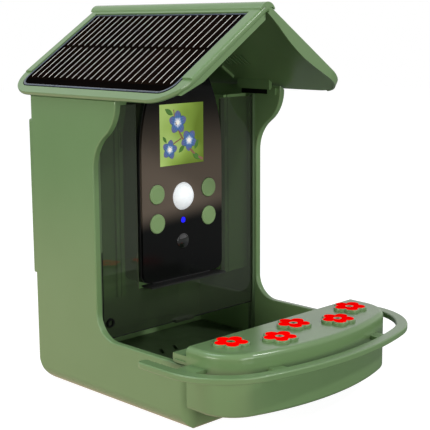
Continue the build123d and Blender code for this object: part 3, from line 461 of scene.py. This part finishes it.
# Solar panel: two rows of dark cells, pale fingers that run down the slope, and a bead round the edge
solar = {"apexZ": 269.3, "rise": 0.667, "sink": 1.2, "ridgeX": 8.5, "eaveX": 82.0, "frontY": -63.5, "backY": 95.5,
         "cornerR": 10.5, "fingers": 23, "fingerBackY": 90.0, "fingerFrontY": -57.0, "fingerWidth": 0.42,
         "upperRow": (10.5, 41.0), "lowerRow": (43.2, 73.3), "cellMargin": 1.6, "beadWidth": 1.7, "beadHeight": 0.55,
         "cellCornerR": 1.2, "cellThick": 0.05, "fingerHeight": 0.10, "ridgeCornerR": 0.5,
         "cellColour": (11, 8, 7), "cellFaded": (22, 14, 10), "fingerColour": (250, 246, 240),
         "fingerFaded": (236, 232, 226), "beadColour": (64, 76, 92), "beadFaded": (54, 64, 78)}
tilt = atan(solar["rise"])
offSlope = np.array([-sin(tilt), 0.0, cos(tilt)])


def onSlope(x, y, height):
    # Point of the left slope at |X| = x, raised by height from the roof's plane
    x, y, height = np.broadcast_arrays(np.asarray(x, float), np.asarray(y, float), np.asarray(height, float))
    base = np.stack([-x, y, solar["apexZ"] - solar["rise"] * x], -1)
    return (base + height[..., None] * offSlope) * mm


def makeSolar():
    glassTop = -solar["sink"]
    cell = skinMaterial("solarCell", solar["cellColour"], solar["cellFaded"], (0.14, 0.20), 0.02,
                        **{"Specular IOR Level": 0.0})
    # The fingers glow a little: painted light that keeps the thin lines bright
    finger = skinMaterial("solarFinger", solar["fingerColour"], solar["fingerFaded"], (0.25, 0.35), 0.05,
                          **{"Emission Color": (0.85, 0.83, 0.80, 1.0), "Emission Strength": 0.3})
    bead = skinMaterial("solarBead", solar["beadColour"], solar["beadFaded"], (0.22, 0.30), 0.05)
    edge, slabs = solar["cellMargin"], []
    front, back = solar["fingerFrontY"] - edge, solar["fingerBackY"] + edge
    for low, high in (solar["upperRow"], solar["lowerRow"]):
        corners = ((low - edge, front), (high + edge, front), (high + edge, back), (low - edge, back))
        loop = roundedLoop([(*corner, solar["cellCornerR"]) for corner in corners], steps=4)
        slabs.append(plate(onSlope(loop[:, 0], loop[:, 1], glassTop), offSlope, solar["cellThick"] * mm))
    addPiece("solarCells", *joinForms(slabs), cell, "roof", smooth=False)
    rows = np.linspace(solar["fingerBackY"], solar["fingerFrontY"], solar["fingers"])
    starts, ends = [], []
    for low, high in (solar["upperRow"], solar["lowerRow"]):
        starts.append(onSlope(low, rows, glassTop + solar["cellThick"]))
        ends.append(onSlope(high, rows, glassTop + solar["cellThick"]))
    bars = lensBars(np.concatenate(starts), np.concatenate(ends), np.array([0, 1.0, 0]), offSlope,
                    solar["fingerWidth"] * mm, solar["fingerHeight"] * mm)
    addPiece("solarFingers", *bars, finger, "roof")
    inset = solar["beadWidth"] / 2
    loop = roundedLoop([(solar["ridgeX"] + inset, solar["frontY"] + inset, solar["ridgeCornerR"]),
                        (solar["eaveX"] - inset, solar["frontY"] + inset, solar["cornerR"] - inset),
                        (solar["eaveX"] - inset, solar["backY"] - inset, solar["cornerR"] - inset),
                        (solar["ridgeX"] + inset, solar["backY"] - inset, solar["ridgeCornerR"])], steps=12)
    path = onSlope(loop[:, 0], loop[:, 1], glassTop)
    ahead = np.roll(path, -1, 0) - np.roll(path, 1, 0)
    ahead /= np.linalg.norm(ahead, axis=1, keepdims=True)
    outward = np.cross(ahead, offSlope)
    tube = closedTube(path, outward, offSlope, solar["beadWidth"] * mm, solar["beadHeight"] * mm)
    addPiece("solarBead", *tube, bead, "roof")


makeSolar()
print("solar panel made")


# Screen: a soft meadow on the display glass, and a spray of blossom in thin relief in front of it
screen = {"face": 10.42, "relief": 0.05, "glow": 0.55,
          "meadow": ((0.22, (92, 112, 40)), (0.5, (126, 152, 66)), (0.82, (160, 184, 108))),
          "meadowBlur": (34.0, 1.0), "meadowReach": 0.022, "meadowSlant": 0.25,
          "meadowGloss": 0.12, "meadowSpecular": 0.15,
          "branch": ((21.0, 157.6), (13.0, 161.5), (6.0, 168.0), (-1.5, 176.5), (-7.0, 187.0), (-8.5, 197.0)),
          "branchWidths": (2.0, 0.9), "branchSteps": 40,
          "twig": ((-0.5, 175.0), (-8.0, 172.0), (-16.5, 165.5)), "twigWidths": (1.1, 0.6), "twigSteps": 24,
          "barkColour": (128, 92, 74), "barkFaded": (104, 72, 58), "barkLiftShare": 0.7, "barkWave": (0.12, 9.0),
          "blossoms": ((-4.5, 186.5, 8.6, 0.3), (6.5, 173.0, 8.0, 0.9), (-12.5, 167.5, 7.2, 0.1)),
          "petal": ((0.16, (226, 230, 240)), (0.42, (58, 104, 160)), (0.95, (96, 92, 136))),
          "petals": 5, "petalWidthShare": 0.78, "petalGloss": 0.3,
          "veins": 22.0, "veinDepth": 0.35, "veinColour": (34, 48, 84),
          "stamens": 7, "stamenRing": 0.35, "stamenLength": 1.3, "stamenWidthShare": 0.6, "stamenLiftShare": 0.4,
          "pollenColour": (246, 244, 232), "pollenFaded": (236, 226, 190),
          "leaves": ((-9.0, 192.0, 2.6, 9.0), (9.5, 163.5, -0.6, 9.5), (2.0, 170.0, -2.4, 8.0),
                     (12.0, 166.0, 1.1, 8.0), (-15.5, 172.5, 2.2, 6.0)),
          "leafColour": (70, 112, 44), "leafFaded": (52, 92, 34), "leafWidthShare": 0.42, "leafBlunt": 0.9}


def lightUp(tree, shader, colour):
    # A lit picture element: its colour also feeds the glow
    tree.links.new(colour, shader.inputs["Base Color"])
    tree.links.new(colour, shader.inputs["Emission Color"])
    shader.inputs["Emission Strength"].default_value = screen["glow"]


def screenMaterial(name, colour, faded):
    material = skinMaterial(name, colour, faded, (0.18, 0.24), 0.02)
    tree = material.node_tree
    skin = next(node for node in tree.nodes if node.type == "GROUP")
    lightUp(tree, tree.nodes["Principled BSDF"], skin.outputs["Colour"])
    return material


def meadowMaterial():
    # Out-of-focus greens: a slow noise and a slant across the glass, through three colours
    material, tree, shader, place = startMaterial("screenMeadow")
    blur = noiseNode(tree, place, *screen["meadowBlur"])
    reach, lean = screen["meadowReach"], screen["meadowSlant"]
    slant = mapRange(tree, splitAxes(tree, place)["X"], (reach, -reach), (-lean, lean))
    lightUp(tree, shader, colourRamp(tree, mathNode(tree, "ADD", blur, slant), screen["meadow"]))
    shader.inputs["Roughness"].default_value = screen["meadowGloss"]
    shader.inputs["Specular IOR Level"].default_value = screen["meadowSpecular"]
    return material


def petalMaterial():
    # Along each petal, by its UV: a pale root, a blue middle with fine veins and a slate tip
    material, tree, shader = startMaterial("screenPetal")[:3]
    axes = splitAxes(tree, newNode(tree, "ShaderNodeUVMap", uv_map="UVMap").outputs["UV"])
    plain = colourRamp(tree, axes["X"], screen["petal"])
    veins = mathNode(tree, "SINE", mathNode(tree, "MULTIPLY", axes["Y"], screen["veins"]))
    share = mapRange(tree, veins, (-1.0, 1.0), (0.0, screen["veinDepth"]))
    lightUp(tree, shader, mixColours(tree, share, plain, linear(screen["veinColour"])))
    shader.inputs["Roughness"].default_value = screen["petalGloss"]
    return material


def leafForms(roots, headings, lengths, widths, rows=12, sides=8, blunt=0.55):
    # Leaves or petals in the screen's plane: point = root + heading (length u) + across (width sin(pi u)^blunt / 2
    # cos(a)), lifted off the glass by the relief times sin(pi u) (1 + sin(a)) / 2
    along = np.linspace(0.012, 0.988, rows)
    turn = np.linspace(0, 2 * np.pi, sides, endpoint=False)
    half = np.sin(np.pi * along) ** blunt / 2
    u = lengths[:, None, None] * along[None, :, None]
    v = widths[:, None, None] * half[None, :, None] * np.cos(turn)[None, None, :]
    x = roots[:, 0, None, None] + u * np.cos(headings)[:, None, None] - v * np.sin(headings)[:, None, None]
    z = roots[:, 1, None, None] + u * np.sin(headings)[:, None, None] + v * np.cos(headings)[:, None, None]
    lift = screen["relief"] * np.sin(np.pi * along)[None, :, None] * (1 + np.sin(turn))[None, None, :] / 2
    y = screen["face"] - np.broadcast_to(lift, x.shape)
    points = np.stack([x, y, z], -1).reshape(-1, 3) * mm
    uv = np.stack([np.broadcast_to(share, x.shape) for share in (along[:, None], (np.cos(turn) + 1) / 2)], -1)
    return points, cappedGrids(rows, sides, len(roots)), uv.reshape(-1, 2)


def branchForm(line, widths, steps, sides=8):
    # A flat branch: its line through the points is smoothed over seven steps, and its width falls in slight waves
    knots = np.array(line, float)
    share = np.linspace(0, len(knots) - 1, steps)
    x, z = (np.interp(share, range(len(knots)), knots[:, axis]) for axis in (0, 1))
    even = np.ones(7) / 7
    smooth = np.stack([np.convolve(np.pad(part, 3, mode="edge"), even, "valid") for part in (x, z)], -1)
    ahead = np.gradient(smooth, axis=0)
    ahead /= np.linalg.norm(ahead, axis=1, keepdims=True)
    wave, pace = screen["barkWave"]
    width = np.linspace(*widths, steps) * (1 + wave * np.sin(share * pace))
    turn = np.linspace(0, 2 * np.pi, sides, endpoint=False)
    across = np.stack([-ahead[:, 1], ahead[:, 0]], -1)
    flat = smooth[:, None, :] + across[:, None, :] * (width[:, None] / 2 * np.cos(turn)[None, :])[..., None]
    lift = screen["relief"] * screen["barkLiftShare"] * (1 + np.sin(turn)) / 2
    y = screen["face"] - np.broadcast_to(lift[None, :], flat.shape[:2])
    points = np.stack([flat[..., 0], y, flat[..., 1]], -1).reshape(-1, 3) * mm
    return points, cappedGrids(steps, sides)


def makeScreen():
    setFinish("display", meadowMaterial())
    bark = screenMaterial("screenBark", screen["barkColour"], screen["barkFaded"])
    for name, part in (("screenBranch", "branch"), ("screenTwig", "twig")):
        form = branchForm(screen[part], screen[part + "Widths"], screen[part + "Steps"])
        addPiece(name, *form, bark, "body")
    leaves = np.array(screen["leaves"])
    widths = leaves[:, 3] * screen["leafWidthShare"]
    points, faces, uv = leafForms(leaves[:, :2], leaves[:, 2], leaves[:, 3], widths, blunt=screen["leafBlunt"])
    green = screenMaterial("screenLeaf", screen["leafColour"], screen["leafFaded"])
    addPiece("screenLeaves", points, faces, green, "body", uv=uv)
    flowers, petals = np.array(screen["blossoms"]), screen["petals"]
    turns = flowers[:, 3, None] + np.arange(petals)[None, :] * 2 * np.pi / petals
    roots = np.repeat(flowers[:, None, :2], petals, 1).reshape(-1, 2)
    sizes = np.repeat(flowers[:, 2, None], petals, 1).ravel()
    points, faces, uv = leafForms(roots, turns.ravel(), sizes, sizes * screen["petalWidthShare"])
    addPiece("screenPetals", points, faces, petalMaterial(), "body", uv=uv)
    dots = np.linspace(0, 2 * np.pi, screen["stamens"], endpoint=False)
    ring = np.stack([np.cos(dots), np.sin(dots)], -1)[None] * screen["stamenRing"]
    roots = (flowers[:, None, :2] + ring).reshape(-1, 2)
    sizes = np.full(len(roots), screen["stamenLength"])
    headings = np.tile(dots, len(flowers))
    points, faces, uv = leafForms(roots, headings, sizes, sizes * screen["stamenWidthShare"], rows=6)
    points[:, 1] -= screen["stamenLiftShare"] * screen["relief"] * mm
    pollen = screenMaterial("screenPollen", screen["pollenColour"], screen["pollenFaded"])
    addPiece("screenStamens", points, faces, pollen, "body", uv=uv)


makeScreen()
print("screen made")


# Front window: a painted brown sheen (painted reflection) across its middle on near-black, with a slanting lower edge
window = {"black": (15, 15, 16), "paintedSheenBrown": (104, 92, 82), "low": 0.1205, "fade": 0.145, "high": 0.208, "slant": 0.08,
          "soft": 0.008, "gloss": (0.10, 0.16), "specular": 0.12}


def windowMaterial():
    material, tree, shader, place = startMaterial("blackWindow")
    axes = splitAxes(tree, place)
    lean = mathNode(tree, "MULTIPLY_ADD", axes["X"], -window["slant"], axes["Z"])
    edge = window["low"] - window["soft"], window["low"] + window["soft"]
    lower = mapRange(tree, lean, edge, kind="SMOOTHSTEP")
    upper = mapRange(tree, axes["Z"], (window["fade"], window["high"]), (1.0, 0.0), "SMOOTHSTEP")
    share = mathNode(tree, "MULTIPLY", lower, upper)
    # The brown is a painted reflection, mixed over the near-black by the mask
    colour = mixColours(tree, share, linear(window["black"]), linear(window["paintedSheenBrown"]))
    addSkin(tree, shader, place, colour, colour, window["gloss"])
    shader.inputs["Specular IOR Level"].default_value = window["specular"]
    return material


setFinish("front_window", windowMaterial())

# Camera lens glass on the window: a shallow dome in a low rim, height = rise (1 - r^2 / radius^2)
lensGlass = {"x": -0.7, "z": 99.5, "front": 10.3, "radius": 5.6, "rise": 0.9, "sides": 48,
             "colour": (10, 10, 14), "faded": (16, 14, 20)}


def makeLensGlass():
    rings = np.array([1.0, 1.0, 0.985, 0.9, 0.75, 0.55, 0.35, 0.15, 0.02])
    rim = np.array([0.0, 0.12, 0.2, 0, 0, 0, 0, 0, 0])
    turn = np.linspace(0, 2 * np.pi, lensGlass["sides"], endpoint=False)
    height = np.maximum(lensGlass["rise"] * (1 - rings ** 2), rim)
    x = lensGlass["x"] + lensGlass["radius"] * rings[:, None] * np.cos(turn)[None]
    z = lensGlass["z"] + lensGlass["radius"] * rings[:, None] * np.sin(turn)[None]
    y = lensGlass["front"] - np.broadcast_to(height[:, None], x.shape)
    points = np.stack([x, y, z], -1).reshape(-1, 3) * mm
    glass = skinMaterial("lensGlass", lensGlass["colour"], lensGlass["faded"], (0.04, 0.07), 0.01,
                         **{"Coat Weight": 0.6})
    addPiece("lensGlass", points, cappedGrids(*x.shape), glass, "body")


makeLensGlass()
print("window and lens made")


# Trim: thin dark lines painted as shade along the gate's bottom edge, the channels' edges and a ledge on the right
# wall, a small hook beside the ring, and at the tops of the walls black plates painted as the shade in slots, and
# green stops. The hook's turn is in half turns.
trim = {"gateFace": 13.0, "hook": (-73.6, 50.2, 1.5, 0.42), "wallX": 77.5, "slotY": (-2.5, 25.5),
        "slotZ": (203.2, 206.8), "stopY": (-10.5, -2.5), "stopZ": (202.8, 208.0), "slotDepth": 0.25, "stopDepth": 1.6,
        "cornerR": 0.6, "shadeLineHeight": 0.3, "hookTurn": (0.4, 1.9), "hookSteps": 28,
        "gateLines": (((-75.0, 13.0, 39.4), (75.0, 13.0, 39.4), "z", "y", 0.7),),
        "bodyLines": (((-75.5, 11.6, 50.0), (-75.5, 11.6, 102.0), "x", "y", 0.9),
                      ((77.5, 17.2, 17.0), (77.5, 17.2, 54.0), "y", "x", 0.9),
                      ((77.5, 62.0, 45.6), (77.5, 18.0, 45.6), "z", "x", 0.9),
                      ((77.5, 62.0, 50.2), (77.5, 30.0, 50.2), "z", "x", 0.5))}
axisOf = {"x": np.array([1.0, 0, 0]), "y": np.array([0, -1.0, 0]), "z": np.array([0, 0, 1.0])}


def makeTrim():
    # The dark bars are painted shade along the gate's bottom edge, the channels' edges and a ledge on the right wall
    for name, body, lines in (("gateEdgeShade", "gate", trim["gateLines"]), ("channelEdgeShade", "body", trim["bodyLines"])):
        bars = []
        for start, end, across, normal, width in lines:
            off = -axisOf[normal] if normal == "x" else axisOf[normal]
            bars.append(lensBars(np.array([start]) * mm, np.array([end]) * mm, axisOf[across], off,
                                 width * mm, trim["shadeLineHeight"] * mm))
        addPiece(name, *joinForms(bars), trimBlack, body)
    x, z, radius, wire = trim["hook"]
    turn = np.linspace(*(share * np.pi for share in trim["hookTurn"]), trim["hookSteps"])
    ring = np.linspace(0, 2 * np.pi, 8, endpoint=False)
    out = radius + wire * np.cos(ring)[None, :]
    shape = len(turn), len(ring)
    y = np.broadcast_to(trim["gateFace"] - wire + wire * np.sin(ring)[None, :], shape)
    points = np.stack([x + out * np.cos(turn)[:, None], y, z + out * np.sin(turn)[:, None]], -1).reshape(-1, 3) * mm
    addPiece("gateHook", points, cappedGrids(*shape), trimBlack, "gate")
    for side, tag in ((-1, "Left"), (1, "Right")):
        # A slot's black plate is painted shade, standing in for the dark inside of the slot
        for name, key, finish in (("wallSlotShade", "slot", trimBlack), ("wallStop", "stop", finishes["green_abs"])):
            ys, zs, deep = trim[key + "Y"], trim[key + "Z"], trim[key + "Depth"]
            corners = ((ys[0], zs[0]), (ys[1], zs[0]), (ys[1], zs[1]), (ys[0], zs[1]))
            loop = roundedLoop([(*corner, trim["cornerR"]) for corner in corners], steps=4)
            outline = np.stack([np.full(len(loop), side * trim["wallX"]), loop[:, 0], loop[:, 1]], -1) * mm
            addPiece(name + tag, *plate(outline, (-side, 0, 0), deep * mm), finish, "body", smooth=False)


makeTrim()
print("trim made")


# Fascia of the right slope: a thin strip round its front edge and front corner, deepest at the middle
fascia = {"frontY": -73.0, "noseX": 88.0, "cornerR": 25.5, "startX": 3.0, "turn": 75.0, "thick": 1.4, "proud": 0.05,
          "along": (0.0, 14.0, 30.0, 48.0, 66.0, 82.0, 110.0), "depth": (5.2, 6.3, 9.2, 10.6, 9.2, 7.2, 4.8),
          "sunk": 0.9, "steps": 60, "bends": 30}


def makeFascia():
    # Each section is a rectangle off the slab's outline: from just under the top face down by a depth that follows a
    # smooth curve of the length along the edge, and from just outside the edge inwards by the thickness
    steps, bends = fascia["steps"], fascia["bends"]
    edgeU = fascia["noseX"] / cos(tilt)
    startU = fascia["startX"] / cos(tilt)
    endU = edgeU - fascia["cornerR"]
    run = np.linspace(startU, endU, steps)
    swing = np.radians(np.linspace(0, fascia["turn"], bends)[1:])
    across = np.concatenate([run, endU + fascia["cornerR"] * np.sin(swing)])
    bend = fascia["frontY"] + fascia["cornerR"] * (1 - np.cos(swing))
    back = np.concatenate([np.full(steps, fascia["frontY"]), bend])
    angle = np.concatenate([np.zeros(steps), swing])
    length = np.concatenate([run, endU + fascia["cornerR"] * swing])
    depth = np.interp(length, fascia["along"], fascia["depth"])
    even = np.ones(13) / 13
    depth = np.convolve(np.pad(depth, 6, mode="edge"), even, "valid")
    sunk = np.full(len(depth), fascia["sunk"])
    rows = []
    for out, down in ((fascia["proud"], sunk), (fascia["proud"], depth), (-fascia["thick"], depth),
                      (-fascia["thick"], sunk)):
        u = across + out * np.sin(angle)
        y = back - out * np.cos(angle)
        x = u * cos(tilt) - down * sin(tilt)
        z = solar["apexZ"] - u * sin(tilt) - down * cos(tilt)
        rows.append(np.stack([x, y, z], -1))
    points = np.stack(rows, 1) * mm
    faces = cappedGrids(*points.shape[:2])
    addPiece("fasciaRight", points.reshape(-1, 3), faces, finishes["green_abs"], "roof", smooth=False)


makeFascia()
print("fascia made")


# Keys: a fine raised ring on each, a little paler than the key
keyRelief = {"x": (-25.5, 25.5), "z": (115.4, 136.5), "face": 9.6, "ring": 5.3, "wire": 0.32, "proud": 0.16,
             "colour": (146, 176, 122), "faded": (138, 168, 114)}


def makeKeyRings():
    # A flat bead round the key: (r + w/2 cos(b)) (cos(a), sin(a)) in the face, standing proud by p (1 + sin(b)) / 2
    pale = skinMaterial("keyRing", keyRelief["colour"], keyRelief["faded"], (0.34, 0.42), 0.2)
    turn = np.linspace(0, 2 * np.pi, 56, endpoint=False)
    bead = np.linspace(0, 2 * np.pi, 8, endpoint=False)
    rows, sides = len(turn), len(bead)
    out = keyRelief["ring"] + keyRelief["wire"] / 2 * np.cos(bead)[None, :]
    rise = np.broadcast_to(keyRelief["proud"] * (1 + np.sin(bead))[None, :] / 2, (rows, sides))
    for z in reversed(keyRelief["z"]):
        for x in keyRelief["x"]:
            ring = np.stack([x + out * np.cos(turn)[:, None], keyRelief["face"] - rise,
                             z + out * np.sin(turn)[:, None]], -1).reshape(-1, 3) * mm
            key = min((name for name in nodes if name.startswith("button_")),
                      key=lambda name: np.hypot(*(np.mean(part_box(name), 0)[[0, 2]] - np.array([x, z]) * mm)))
            number = key.rsplit("_", 1)[1]
            addPiece("keyRing" + number, ring, gridFaces(rows, sides, closedRows=True), pale, "key_" + number)


makeKeyRings()
print("key rings made")
